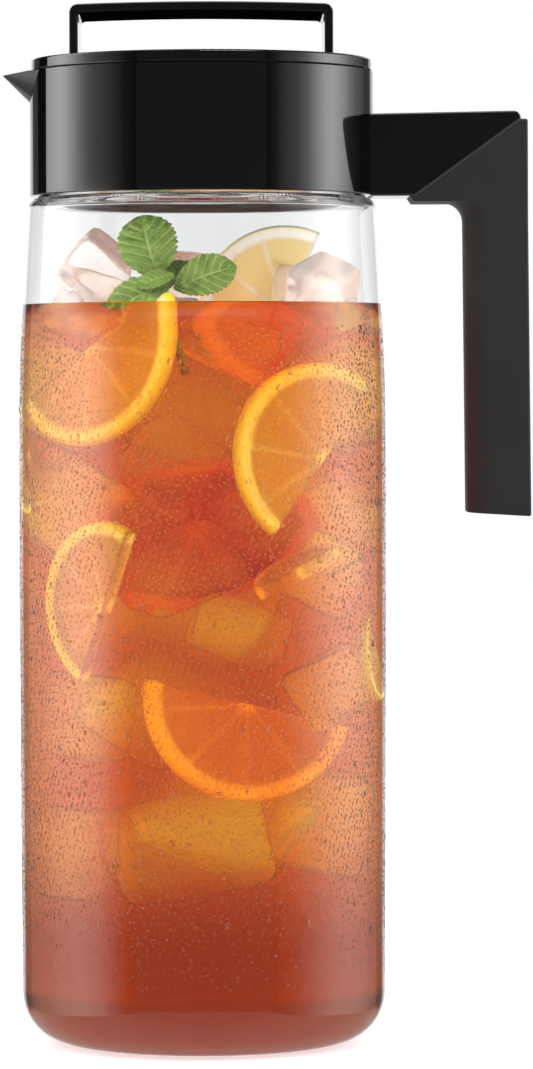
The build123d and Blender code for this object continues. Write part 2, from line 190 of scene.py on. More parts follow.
def glossPlastic(name, paintedShadeUnderside=False):
    # ABS, injection moulded in a polished tool: deep black, mirror-like, with a faint ripple
    # left by the flow of the melt, about 6 mm long and far too shallow to see but in reflections.
    # Faces turned down can be given painted shade: a matt dark grey with no reflection in place of
    # the polish.
    material = newMaterial(name)
    place = addNode(material, "ShaderNodeTexCoord")
    ripple = addNoise(material, place, 160.0, 1.0)
    bump = addNode(material, "ShaderNodeBump", {"Strength": 0.02, "Distance": 0.00005},
                   {"Height": (ripple, "Fac")})
    dust = addNoise(material, place, 45.0, 6.0)
    haze = remap(material, (dust, "Fac"), 0.35, 0.75, 0.04, 0.065)
    tone = addNode(material, "ShaderNodeValToRGB", links={"Fac": (dust, "Fac")})
    setRamp(tone, [(0.3, "#080808"), (0.8, "#0C0C0D")])
    shader = addNode(material, "ShaderNodeBsdfPrincipled", {"IOR": 1.53},
                     {"Base Color": (tone, "Color"), "Roughness": (haze, "Result"),
                      "Normal": (bump, "Normal")})
    # painted shade: faces that look down lose their reflection and turn matt dark grey
    if paintedShadeUnderside:
        face = addNode(material, "ShaderNodeNewGeometry")
        axes = addNode(material, "ShaderNodeSeparateXYZ", links={"Vector": (face, "Normal")})
        under = addNode(material, "ShaderNodeMath", {1: -0.7}, {0: (axes, "Z")},
                        operation="LESS_THAN")
        dull = addNode(material, "ShaderNodeBsdfPrincipled",
                       {"Base Color": linearColour("#19191A"), "Roughness": 0.7,
                        "Specular IOR Level": 0.0})
        shader = mixShaders(material, under, shader, dull)
    return withSurface(material, shader)


def grainedPolymer(name, dark, light, grain, roughness, height, sheen=0.0):
    # a moulded polymer with a fine grain: the grain is the texture's size in millimetres
    material = newMaterial(name)
    place = addNode(material, "ShaderNodeTexCoord")
    grit = addNoise(material, place, 1000 / grain, 3.0)
    cloud = addNoise(material, place, 30.0, 3.0)
    tone = addNode(material, "ShaderNodeValToRGB", links={"Fac": (cloud, "Fac")})
    setRamp(tone, [(0.35, dark), (0.7, light)])
    wear = remap(material, (cloud, "Fac"), 0.3, 0.7, roughness, roughness + 0.08)
    bump = addNode(material, "ShaderNodeBump", {"Strength": 0.5, "Distance": height * mm},
                   {"Height": (grit, "Fac")})
    shader = addNode(material, "ShaderNodeBsdfPrincipled", {"IOR": 1.49, "Sheen Weight": sheen,
                                                            "Sheen Roughness": 0.4},
                     {"Base Color": (tone, "Color"), "Roughness": (wear, "Result"),
                      "Normal": (bump, "Normal")})
    return withSurface(material, shader)


def screwSteel():
    # stainless steel screws, cold headed and tumbled: bright, with fine random scratches
    material = newMaterial("tumbledStainlessSteel")
    place = addNode(material, "ShaderNodeTexCoord")
    scratch = addNoise(material, place, 2500.0, 4.0)
    dull = remap(material, (scratch, "Fac"), 0.0, 1.0, 0.22, 0.42)
    shader = addNode(material, "ShaderNodeBsdfPrincipled",
                     {"Base Color": linearColour("#C3C2BF"), "Metallic": 1.0},
                     {"Roughness": (dull, "Result")})
    return withSurface(material, shader)


gloss = glossPlastic("polishedBlackAbs")
# the strap's underside gets painted shade
strapGloss = glossPlastic("polishedBlackAbsStrap", paintedShadeUnderside=True)
# thermoplastic elastomer, moulded over the core in an etched tool: charcoal, dry, no shine
softTouch = grainedPolymer("softTouchElastomer", "#222424", "#282A2A", 0.35, 0.62, 0.03, 0.03)
# polypropylene and glass-filled nylon, moulded in blasted tools: black, with a low satin shine
satin = grainedPolymer("satinBlackPolypropylene", "#101011", "#161617", 0.5, 0.38, 0.02)
nylon = grainedPolymer("glassFilledNylon", "#151515", "#1D1D1D", 0.4, 0.5, 0.03)
# silicone rubber, moulded pale and left matt
silicone = grainedPolymer("paleSilicone", "#B9BBBA", "#C6C8C6", 0.6, 0.42, 0.015)
steel = screwSteel()

finishes = {
    gloss: ("collar", "handle_arm", "lid_disc"),
    strapGloss: ("loop_handle",),
    softTouch: ("grip",),
    satin: ("lid_plug",),
    nylon: ("retaining_ring", "handle_core"),
    silicone: ("mouth_gasket", "leg_seals", "lid_sleeve", "ring_seal"),
    steel: ("handle_screws", "lid_screws", "stop_pins"),
}
for material, names in finishes.items():
    for name in names:
        nodes[name].data.materials.clear()
        nodes[name].data.materials.append(material)
# The grip stands so near the glass that its mirror image would draw a dark band down the edge.
for name in ("grip", "handle_core"):
    nodes[name].visible_glossy = False
print("construction finished:", sum(len(names) for names in finishes.values()), "nodes")


# The glass

glass = {
    "foot": 53.4, "belly": 53.85, "bellyLow": 130.0, "bellyTop": 181.0, "taper": 22.0,
    "shoulder": 51.1, "shoulderLean": 0.15, "shoulderTop": 248.4, "shoulderRound": 3.4,
    "innerRound": 0.6, "heel": 14.7,
    "neck": 45.0, "neckTop": 262.0, "beadLow": 254.0, "beadTop": 257.0, "beadDepth": 1.2,
    "wall": 3.0, "floor": 3.8, "kick": 0.8, "kickRadius": 34.0, "turns": 192,
}


def wallProfile(inset, low):
    # The side wall from the heel to the shoulder, moved inwards by inset: an arc from the floor,
    # two straight draughts and a curve that draws in to the rounded shoulder.
    heel = glass["heel"] - inset
    corner = (glass["foot"] - inset - heel, low + heel)
    top = glass["shoulderTop"] - inset
    edge = max(glass["shoulderRound"] - inset, glass["innerRound"])
    brow = glass["shoulder"] + glass["shoulderLean"] - inset
    rise = curveThrough((glass["belly"] - inset, glass["bellyTop"]),
                        (glass["belly"] - inset, glass["bellyTop"] + glass["taper"]),
                        (brow, top - edge), 14)
    return np.vstack([
        arc(corner, heel, -90, 0, 12),
        [(glass["belly"] - inset, glass["bellyLow"])],
        rise,
        arc((brow - edge, top - edge), edge, 8, 90, 8),
    ])


def glassProfile():
    # outside from the foot up to the lip, then inside down to the floor, with a faint kick
    # in the middle of the underside that lifts the foot to a ring
    g = glass
    neck, wall, floor, top = g["neck"], g["wall"], g["floor"], g["shoulderTop"]
    bead, mouth, ceiling = neck + g["beadDepth"], neck - wall, top - wall
    kick = np.linspace(0, g["kickRadius"], 6)
    under = np.stack([kick, g["kick"] * np.cos(kick / g["kickRadius"] * math.pi / 2) ** 2], -1)
    neckOut = [(neck + 1.0, top), (neck, top + 1.0), (neck, g["beadLow"]),
               (bead, g["beadLow"] + 0.5), (bead, g["beadTop"] - 0.5), (neck, g["beadTop"])]
    lip = arc((neck - wall / 2, g["neckTop"] - wall / 2), wall / 2, 0, 180, 9)
    neckIn = [(mouth, ceiling + 1.5), (mouth + 0.5, ceiling + 0.4), (mouth + 1.5, ceiling)]
    inside = wallProfile(wall, floor)[::-1]
    bottom = [(26.0, floor + 0.2), (12.0, floor + 0.4), (0.0, floor + 0.5)]
    return np.vstack([under, wallProfile(0.0, 0.0), neckOut, lip, neckIn, inside, bottom])


def glassMaterial():
    # borosilicate glass, blown in a mould: colourless and clear, with a polished face
    material = newMaterial("blownClearGlass")
    shader = addNode(material, "ShaderNodeBsdfPrincipled",
                     {"Base Color": linearColour("#FCFDFD"), "Roughness": 0.0, "IOR": 1.48,
                      "Transmission Weight": 1.0})
    return withSurface(material, shader)


vertices, faces, _ = lathe(glassProfile(), glass["turns"])
vesselPiece = newPiece("vesselGlass", vertices, faces, "pitcher", glassMaterial(),
                       slot="clear_glass")
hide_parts("vessel")
print("glass:", len(faces), "faces")


# The ice

ice = {"power": 8.0, "melt": 0.05, "rows": 38, "columns": 56, "seed": 11, "floating": 5}
# centre, half sizes and turn of each cube; the first five float, the rest are under the tea
iceCubes = [
    ((-31.0, -10.0, 227.5), (8.5, 8.0, 8.0), (25, 40, 10)),
    ((35.0, -8.0, 220.5), (8.5, 8.0, 8.5), (30, -25, 40)),
    ((-30.0, 6.0, 218.0), (12.0, 11.0, 9.5), (8, 12, 30)),
    ((29.0, 13.0, 219.0), (11.0, 11.0, 9.0), (12, 15, 20)),
    ((-3.0, 22.0, 219.0), (14.0, 13.0, 11.0), (10, 20, 65)),
    ((7.0, -24.0, 205.0), (11.0, 9.0, 8.0), (15, 28, 20)),
    ((-30.0, 7.2, 190.0), (12.0, 14.0, 13.0), (25, 15, 50)),
    ((30.2, 11.0, 190.0), (12.0, 14.0, 13.0), (15, 45, 30)),
    ((-3.0, 10.0, 187.0), (15.0, 13.0, 12.0), (40, 25, 15)),
    ((-8.0, -28.0, 172.0), (10.0, 8.0, 8.5), (20, 40, -20)),
    ((-14.0, -26.0, 157.0), (8.5, 8.0, 7.5), (12, -8, 15)),
    ((-30.6, -2.0, 157.0), (13.0, 13.0, 13.0), (35, 20, 60)),
    ((20.0, 18.0, 155.0), (14.0, 13.0, 12.0), (25, 40, 70)),
    ((-6.0, -22.0, 140.0), (14.0, 10.0, 9.5), (12, -24, 20)),
    ((30.0, -14.0, 138.0), (10.0, 11.0, 10.0), (10, 30, 35)),
    ((-3.0, 22.0, 126.0), (15.0, 13.0, 12.0), (50, 25, 10)),
    ((9.0, -27.0, 122.0), (12.0, 8.0, 7.5), (8, 22, -12)),
    ((-29.0, -17.0, 97.0), (10.0, 10.0, 12.0), (5, 6, 25)),
    ((32.1, -13.6, 105.0), (9.0, 10.0, 11.0), (15, 60, 25)),
    ((-9.0, 12.0, 99.0), (13.0, 13.0, 12.0), (30, 40, 5)),
    ((-4.0, -24.0, 60.0), (20.0, 12.0, 12.0), (16, -12, 4)),
    ((-32.0, -12.0, 57.0), (9.0, 9.0, 13.0), (0, 4, 35)),
    ((30.0, -12.0, 66.0), (11.0, 11.0, 14.0), (10, 12, 35)),
    ((4.0, 22.0, 66.0), (15.0, 13.0, 13.0), (20, 30, 15)),
]


def cubePoints(centre, half, angles, phase, grow=1.0):
    # A rounded cube: each direction on the sphere is scaled until |x|^p + |y|^p + |z|^p = 1,
    # then three waves melt its faces a little.
    polar = np.linspace(0, math.pi, ice["rows"])[:, None]
    turn = np.linspace(0, 2 * math.pi, ice["columns"], endpoint=False)[None, :]
    way = np.stack([np.sin(polar) * np.cos(turn), np.sin(polar) * np.sin(turn),
                    np.cos(polar) + 0 * turn], axis=-1)
    size = (np.abs(way) ** ice["power"]).sum(-1, keepdims=True) ** (-1 / ice["power"])
    waves = sum(np.sin(way[..., [k]] * (3.1 + k) + way[..., [(k + 1) % 3]] * 2.3 + phase[k])
                for k in range(3))
    points = way * size * (1 + ice["melt"] * waves / 3) * np.array(half) * grow
    return points @ turned(angles).T + np.array(centre)


def iceMaterial(name, colour, clear, cloud, roughness, ior, ripple):
    # freezer ice: clear rim and a cloudy core of trapped air; under the tea its index is set
    # against the tea's, so it hardly bends light there and shows as a paler block
    material = newMaterial(name)
    place = addNode(material, "ShaderNodeTexCoord")
    swirl = addNoise(material, place, 55.0, 2.0)
    frost = remap(material, (swirl, "Fac"), 0.4, 0.7, clear, clear - cloud)
    bump = addNode(material, "ShaderNodeBump", {"Strength": ripple, "Distance": 0.001},
                   {"Height": (swirl, "Fac")})
    shader = addNode(material, "ShaderNodeBsdfPrincipled",
                     {"Base Color": linearColour(colour), "Roughness": roughness, "IOR": ior},
                     {"Transmission Weight": (frost, "Result"), "Normal": (bump, "Normal")})
    return withSurface(material, shader)


icePhases = np.random.default_rng(ice["seed"]).uniform(0, 6.28, (len(iceCubes), 3))
floatingIce = iceMaterial("meltingIce", "#FFF9F5", 0.9, 0.35, 0.03, 1.24, 0.9)
sunkenIce = iceMaterial("iceUnderTea", "#FFFFFF", 1.0, 0.02, 0.14, 1.014, 0.12)
for number, (centre, half, angles) in enumerate(iceCubes):
    points = cubePoints(centre, half, angles, icePhases[number])
    vertices, faces, _ = gridMesh(points)
    newPiece(f"iceCube{number + 1}", vertices, [face[::-1] for face in faces], "pitcher",
             floatingIce if number < ice["floating"] else sunkenIce)
print("ice:", len(iceCubes), "cubes")


# The tea

tea = {"level": 215.6, "meniscus": 1.3, "meniscusReach": 1.1, "sink": 0.9, "turns": 128,
       "film": 0.7, "grow": 1.02, "top": "#FFFFFF", "middle": "#FFFFFF", "bottom": "#C6A79F",
       "absorbs": (0.945, 0.73, 0.0), "density": 100.0, "haze": 0.13}


def teaProfile():
    # It fills the glass and sinks a little into its wall, so that light crosses glass to tea with
    # no film of air between. At the wall its edge climbs in a short curve.
    inset = glass["wall"] - tea["sink"]
    wall = wallProfile(inset, glass["floor"] - tea["sink"])
    wall = wall[wall[:, 1] < tea["level"] - 2.0]
    side = wallProfile(inset, 0)[10:28]
    reach = np.interp(tea["level"], side[:, 1], side[:, 0])
    climb = np.array([0.0, 0.0, 0.6, 1.5, 3.0, 5.5])
    surface = np.stack([reach - tea["sink"] - climb,
                        tea["level"] + tea["meniscus"] * np.exp(-climb / tea["meniscusReach"])], -1)
    surface[0] = (reach, tea["level"] + tea["meniscus"])
    floor = [(0.0, glass["floor"] - tea["sink"] + 0.5), (20.0, glass["floor"] - tea["sink"] + 0.3)]
    return np.vstack([floor, wall, surface, [(25.0, tea["level"]), (0.0, tea["level"])]])


def teaMesh():
    # The tea has a hollow for each cube, because ice takes the tea's place: the cube's own
    # surface, a hair larger, turned inside out and kept under the tea's surface.
    vertices, faces, _ = lathe(teaProfile(), tea["turns"])
    allVertices, allFaces, hollow = [vertices], list(faces), [np.zeros(len(vertices))]
    for (centre, half, angles), phase in zip(iceCubes, icePhases):
        points = cubePoints(centre, half, angles, phase, tea["grow"])
        if points[..., 2].min() > tea["level"] - tea["film"]:
            continue
        points[..., 2] = np.minimum(points[..., 2], tea["level"] - tea["film"])
        start = sum(len(part) for part in allVertices)
        vertices, faces, _ = gridMesh(points)
        allVertices.append(vertices)
        allFaces += [[corner + start for corner in face] for face in faces]
        hollow.append(np.ones(len(vertices)))
    return np.vstack(allVertices), allFaces, np.concatenate(hollow)


def teaMaterial():
    # black tea: clear, it takes out blue first and then green, so it is amber when thin and
    # red when deep; its colour is also tinted darker towards the bottom. A haze softens what
    # lies deep: it is put in the roughness of the tea's surface, so near things stay sharp.
    # Where tea meets ice the two indices are nearly the same.
    material = newMaterial("brewedTea")
    place = addNode(material, "ShaderNodeTexCoord")
    axes = addNode(material, "ShaderNodeSeparateXYZ", links={"Vector": (place, "Object")})
    depth = remap(material, (axes, "Z"), glass["floor"] * mm, tea["level"] * mm)
    tint = addNode(material, "ShaderNodeValToRGB", links={"Fac": (depth, "Result")})
    setRamp(tint, [(0.13, tea["bottom"]), (0.27, tea["middle"]), (0.95, tea["top"])])
    edge = addNode(material, "ShaderNodeBsdfPrincipled",
                   {"Roughness": tea["haze"], "IOR": 1.333, "Transmission Weight": 1.0},
                   {"Base Color": (tint, "Color")})
    atIce = addNode(material, "ShaderNodeBsdfPrincipled",
                    {"Base Color": linearColour("#FFFFFF"), "Roughness": 0.0, "IOR": 1.005,
                     "Transmission Weight": 1.0})
    marks = addNode(material, "ShaderNodeAttribute", attribute_name="hollow")
    parts = addNode(material, "ShaderNodeSeparateXYZ", links={"Vector": (marks, "Vector")})
    surface = mixShaders(material, parts, edge, atIce)
    body = addNode(material, "ShaderNodeVolumeAbsorption",
                   {"Color": (*tea["absorbs"], 1.0), "Density": tea["density"]})
    addNode(material, "ShaderNodeOutputMaterial",
            links={"Surface": (surface, 0), "Volume": (body, "Volume")})
    return material


vertices, faces, hollow = teaMesh()
marks = np.zeros((len(vertices), 3))
marks[:, 0] = hollow
newPiece("tea", vertices, faces, "pitcher", teaMaterial(), attributes={"hollow": marks})
print("tea:", len(faces), "faces")


# The lemon

lemon = {"thickness": 4.0, "peel": 0.955, "pith": 0.86, "segments": 9, "rise": 0.1, "sink": 0.3,
         "membrane": 0.55, "core": 0.07, "pulp": 0.05, "rings": 26, "spokes": 96, "dry": 4}
# centre, radius, the way along the cut, the way to the middle of the rind, and the arc in degrees
lemonSlices = [
    ((-27.3, -19.6, 203.3), 28.5, (38.1, -29.5, 33.8), (2.8, -5.4, -7.9), 180),
    ((31.3, -25.6, 171.4), 28.0, (26.1, 24.6, 43.5), (-6.7, -4.0, 6.3), 180),
    ((-25.2, -31.0, 129.1), 25.0, (11.2, -21.7, 44.7), (-4.9, 7.3, 4.8), 180),
    ((10.0, -18.0, 100.4), 28.0, (49.4, 21.9, -15.3), (-1.8, -2.6, -9.5), 180),
    ((24.6, 6.0, 214.5), 26.0, (38.0, 6.0, 84.0), (-84.0, 4.0, 38.0), 180),
    ((25.0, -24.0, 138.5), 13.0, (24.0, 4.0, 13.0), (-4.0, 20.0, 7.0), 180),
    ((-44.0, -2.0, 172.0), 17.0, (-0.12, 0.5, 1.0), (0.1, 1.0, -0.4), 180),
    ((43.5, -6.0, 113.0), 13.0, (0.2, 0.4, -1.0), (0.1, -1.0, -0.4), 180),
    ((-2.0, 26.0, 150.0), 24.0, (24.0, 5.0, 8.0), (-3.0, 6.0, -14.0), 360),
]


def slicePoints(radius, sweep):
    # A wheel's section carried round its centre: out along one cut face, over the rounded rind
    # and back along the other. Thin walls between the segments stand up, and the flesh sinks.
    columns = lemon["spokes"] if sweep == 360 else lemon["spokes"] // 2 + 1
    angle = np.radians(np.linspace(0, sweep, columns, endpoint=sweep < 360))[None, :]
    out = np.linspace(0, lemon["peel"], lemon["rings"])[:, None]
    wall = np.abs(((angle * lemon["segments"] / (2 * math.pi) + 0.5) % 1) - 0.5)
    wall = wall * 2 * math.pi * np.maximum(out, 0.05) * radius / lemon["segments"]
    ridge = np.exp(-(wall / lemon["membrane"]) ** 2) * (out < lemon["pith"])
    core = np.exp(-(out / lemon["core"]) ** 2)
    flesh = 1 / (1 + np.exp((out - lemon["pith"]) * 90))
    raised = np.maximum(ridge, core)
    sunk = -lemon["sink"] * flesh * (1 - raised) + lemon["rise"] * ridge * flesh
    pulp = (lemon["pulp"] * np.sin(angle * 61 + out * 9)
            * np.sin(out * 47 + 2 * np.cos(angle * 13)) * flesh)
    half = lemon["thickness"] / 2
    face = np.stack([out * radius + 0 * angle, 0 * out + angle,
                     half + (sunk + pulp) * np.minimum(out * 8, 1)], -1)
    bend = np.radians(np.linspace(75, -75, 9))[:, None]
    rim = np.stack([radius * (lemon["peel"] + (1 - lemon["peel"]) * np.cos(bend)) + 0 * angle,
                    0 * bend + angle, half * np.sin(bend) + 0 * angle], -1)
    back = face[::-1] * np.array([1, 1, -1])
    polar = np.concatenate([face, rim, back])
    tissue = polar[..., 0] / radius
    walls = np.concatenate([raised, 0 * rim[..., 0], raised[::-1]])
    return polar, np.stack([tissue, walls, polar[..., 1]], -1)


def slicePiece(name, centre, radius, along, across, sweep, material):
    # along and across are made square to each other, and the wheel is laid in their plane
    first = np.array(along, float) / np.linalg.norm(along)
    second = np.array(across, float) - np.dot(across, first) * first
    second /= np.linalg.norm(second)
    third = np.cross(first, second)
    polar, marks = slicePoints(radius, sweep)
    reach, angle, lift = np.moveaxis(polar, -1, 0)
    points = (np.array(centre) + (reach * np.cos(angle))[..., None] * first
              + (reach * np.sin(angle))[..., None] * second + lift[..., None] * third)
    rows, columns = reach.shape
    vertices, faces, used = gridMesh(points, closeColumns=sweep == 360)
    faces = [face[::-1] for face in faces]
    if sweep < 360:
        lookup = np.full(rows * columns, -1)
        lookup[used] = np.arange(len(used))
        index = np.arange(rows * columns).reshape(rows, columns)
        index[0], index[-1] = index[0, 0], index[-1, 0]
        for column, flip in ((0, 1), (columns - 1, -1)):
            side = lookup[index[:, column]]
            strip = np.stack([side[:-1], side[1:], side[::-1][1:], side[::-1][:-1]], -1)
            faces += [list(dict.fromkeys(face))[::flip] for face in strip[:rows // 2].tolist()]
    return newPiece(name, vertices, faces, "pitcher", material,
                    attributes={"tissue": marks.reshape(-1, 3)[used]})


def lemonMaterial(name, clear, roughness, ior, pulpColour, wallColour, pithColour, peelColour):
    # cut lemon: waxy peel, a dry white pith that scatters light, and wet flesh of long juice
    # sacs that let it through; the sacs run outwards from the core and are about 1 mm wide
    material = newMaterial(name)
    marks = addNode(material, "ShaderNodeAttribute", attribute_name="tissue")
    parts = addNode(material, "ShaderNodeSeparateXYZ", links={"Vector": (marks, "Vector")})
    zone = addNode(material, "ShaderNodeValToRGB", links={"Fac": (parts, "X")})
    setRamp(zone, [(0.0, wallColour), (0.1, pulpColour), (0.82, pulpColour), (0.87, pithColour),
                   (0.94, pithColour), (0.975, peelColour)])
    sacs = addNode(material, "ShaderNodeCombineXYZ", {"Z": 0.0},
                   {"X": (parts, "X"), "Y": (parts, "Z")})
    stretch = addNode(material, "ShaderNodeMapping", {"Scale": (4.5, 11.0, 1.0)},
                      {"Vector": (sacs, "Vector")})
    cells = addNode(material, "ShaderNodeTexVoronoi", {"Scale": 2.0},
                    {"Vector": (stretch, "Vector")})
    shade = remap(material, (cells, "Distance"), 0.0, 0.8, 1.0, 0.95)
    flesh = addNode(material, "ShaderNodeMix", {"Factor": 1.0}, data_type="RGBA",
                    blend_type="MULTIPLY")
    links = material.node_tree.links
    links.new(zone.outputs["Color"], flesh.inputs["A"])
    links.new(shade.outputs["Result"], flesh.inputs["B"])
    wall = addNode(material, "ShaderNodeMix", {"B": linearColour(wallColour)},
                   {"Factor": (parts, "Y")}, data_type="RGBA")
    links.new(flesh.outputs["Result"], wall.inputs["A"])
    thin = addNode(material, "ShaderNodeValToRGB", links={"Fac": (parts, "X")})
    setRamp(thin, [(0.0, "#404040"), (0.12, clear), (0.82, clear), (0.88, "#181818"),
                   (1.0, "#101010")])
    bump = addNode(material, "ShaderNodeBump", {"Strength": 0.08, "Distance": 0.0005},
                   {"Height": (cells, "Distance")})
    shader = addNode(material, "ShaderNodeBsdfPrincipled", {"Roughness": roughness, "IOR": ior},
                     {"Base Color": (wall, "Result"), "Transmission Weight": (thin, "Color"),
                      "Normal": (bump, "Normal")})
    return withSurface(material, shader)


# The slice out of the tea gets a far paler peel, pith and flesh than the slices under it: partly the
# paler look of dry cut flesh, partly painted light for the light it catches above the tea.
wetLemon = lemonMaterial("lemonUnderTea", "#D2D2D2", 0.5, 1.04,
                         "#E4C868", "#F6EEC0", "#EADC98", "#DEC234")
lemonPaintedLit = lemonMaterial("lemonWithPaintedLight", "#C0C0C0", 0.4, 1.06,
                         "#FFE8A4", "#FFFBEC", "#FFFDF0", "#FFF2B4")
for number, row in enumerate(lemonSlices):
    slicePiece(f"lemonSlice{number + 1}", *row, lemonPaintedLit if number == lemon["dry"] else wetLemon)
print("lemon:", len(lemonSlices), "slices")


# The mint

mint = {"rows": 66, "columns": 41, "veins": 7, "teeth": 13, "toothDepth": 0.11, "swell": 0.10,
        "wrinkle": 0.025, "droop": 0.12, "thickness": 0.4, "stemPoints": 14, "stemPale": 0.55}
# base, tip, half width, roundness of the tip, how far it faces up instead of the viewer, its cup
mintLeaves = [
    ((-13.0, -27.0, 225.0), (-17.8, -24.0, 242.3), 8.3, 0.60, 0.10, 0.08),
    ((-8.0, -27.0, 221.5), (9.8, -25.0, 228.0), 5.9, 0.75, 0.22, 0.12),
    ((-9.0, -29.0, 223.0), (-27.0, -35.0, 214.6), 5.6, 0.80, 0.35, 0.14),
    ((-8.0, -30.0, 225.3), (-18.5, -32.0, 221.6), 3.6, 0.80, 0.50, 0.20),
    ((-9.0, -24.0, 223.0), (-3.0, -12.0, 230.0), 4.6, 0.80, 0.60, 0.15),
]


def leafPoints(base, tip, halfWidth, blunt, facing, cup):
    # A blade: u runs from stalk to tip and v across. The half width is W (1 - |2s - 1|^2.3)^b
    # with s = u^1.12 and b the bluntness, and small teeth; the midrib and the slanted side veins
    # are sunk, and the flesh swells and wrinkles between them.
    base, tip = np.array(base), np.array(tip)
    u = np.linspace(0, 1, mint["rows"])[:, None]
    v = np.linspace(-1, 1, mint["columns"])[None, :]
    teeth = (1 + mint["toothDepth"] * (np.abs(np.sin(u * math.pi * mint["teeth"])) - 0.5)
             * np.clip(np.abs(v) * 4 - 3, 0, 1))
    along = np.clip(u, 0.002, 0.998) ** 1.12
    width = halfWidth * (1 - np.abs(2 * along - 1) ** 2.3) ** blunt * teeth
    vein = np.abs(((u * mint["veins"] - np.abs(v) * 1.7) % 1) - 0.5) * 2
    swell = (mint["swell"] * halfWidth * (1 - vein ** 3) * np.minimum(np.abs(v) * 5, 1)
             * (1 - np.abs(v) ** 6))
    wrinkle = (mint["wrinkle"] * halfWidth * np.sin(u * 57 + 3 * np.sin(v * 9))
               * np.sin(v * 31 + u * 11))
    lift = swell + wrinkle + cup * halfWidth * v ** 2 - 0.08 * halfWidth * np.exp(-(v / 0.08) ** 2)
    length = np.linalg.norm(tip - base)
    ahead = (tip - base) / length
    viewer = np.array([0.0, -1.0, 0.0]) * (1 - facing) + np.array([0.0, 0.0, 1.0]) * facing
    side = np.cross(ahead, viewer)
    side /= np.linalg.norm(side)
    up = np.cross(side, ahead)
    droop = -mint["droop"] * length * (u * 2 - 1) ** 2
    points = (base + (u * length)[..., None] * ahead + (v * width)[..., None] * side
              + (lift + droop)[..., None] * up)
    ribs = np.maximum(vein ** 5 * 0.8, np.exp(-(v / 0.05) ** 2)) + 0 * u
    return points, np.stack([u + 0 * v, v + 0 * u, ribs], -1)


def mintMaterial():
    # fresh mint: a soft matt leaf, deep green where it swells and pale along the veins
    material = newMaterial("mintLeaf")
    marks = addNode(material, "ShaderNodeAttribute", attribute_name="blade")
    parts = addNode(material, "ShaderNodeSeparateXYZ", links={"Vector": (marks, "Vector")})
    place = addNode(material, "ShaderNodeTexCoord")
    mottle = addNoise(material, place, 260.0, 4.0)
    quilt = addNode(material, "ShaderNodeTexVoronoi", {"Scale": 900.0},
                    {"Vector": (place, "Object")})
    green = addNode(material, "ShaderNodeValToRGB", links={"Fac": (mottle, "Fac")})
    setRamp(green, [(0.3, "#55731F"), (0.7, "#7F973F")])
    blade = addNode(material, "ShaderNodeMix", {"B": linearColour("#B4C87A")},
                    {"Factor": (parts, "Z")}, data_type="RGBA")
    material.node_tree.links.new(green.outputs["Color"], blade.inputs["A"])
    bump = addNode(material, "ShaderNodeBump", {"Strength": 0.5, "Distance": 0.0004},
                   {"Height": (quilt, "Distance")}, invert=True)
    shader = addNode(material, "ShaderNodeBsdfPrincipled",
                     {"Roughness": 0.5, "IOR": 1.4, "Transmission Weight": 0.12},
                     {"Base Color": (blade, "Result"), "Normal": (bump, "Normal")})
    return withSurface(material, shader)


def tubePoints(route, radius, sides):
    # a ring of points round each point of a route, square to the way the route runs there
    route = np.array(route, float)
    ahead = np.gradient(route, axis=0)
    ahead /= np.linalg.norm(ahead, axis=1, keepdims=True)
    side = np.cross(ahead, np.array([0.0, 1.0, 0.0]))
    side /= np.linalg.norm(side, axis=1, keepdims=True)
    other = np.cross(ahead, side)
    angle = np.linspace(0, 2 * math.pi, sides, endpoint=False)
    ring = (np.cos(angle)[None, :, None] * side[:, None]
            + np.sin(angle)[None, :, None] * other[:, None])
    body = route[:, None] + np.asarray(radius)[:, None, None] * ring
    ends = [np.repeat(route[[end], None], sides, 1) for end in (0, -1)]
    return np.concatenate([ends[0], body, ends[1]])


mintGreen = mintMaterial()
for number, row in enumerate(mintLeaves):
    points, marks = leafPoints(*row)
    vertices, faces, used = gridMesh(points, closeColumns=False)
    leaf = newPiece(f"mintLeaf{number + 1}", vertices, faces, "pitcher", mintGreen,
                    attributes={"blade": marks.reshape(-1, 3)[used]})
    body = leaf.modifiers.new("thickness", "SOLIDIFY")
    body.thickness = mint["thickness"] * mm
    body.offset = 0.0
stemRoute = curveThrough((-14.0, -26.5, 225.0), (-10.0, -29.0, 221.0), (-4.0, -20.0, 196.0),
                         mint["stemPoints"])
points = tubePoints(stemRoute, np.linspace(0.8, 1.1, mint["stemPoints"]), 10)
marks = np.zeros(points.shape)
marks[..., 2] = mint["stemPale"]
vertices, faces, used = gridMesh(points)
newPiece("mintStem", vertices, faces, "pitcher", mintGreen,
         attributes={"blade": marks.reshape(-1, 3)[used]})
print("mint:", len(mintLeaves), "leaves")


# The dew on the outside

dew = {"low": 20.0, "high": 214.0, "spacing": 1.3, "sides": 6, "seed": 5, "radius": 0.33,
       "spread": 0.22, "large": 340, "largeRadius": 0.68, "largest": 1.1, "height": 0.34,
       "sunk": 0.12, "browWide": 0.72, "browHigh": 0.62, "stray": 0.22, "behind": 0.2, "bands": 4}


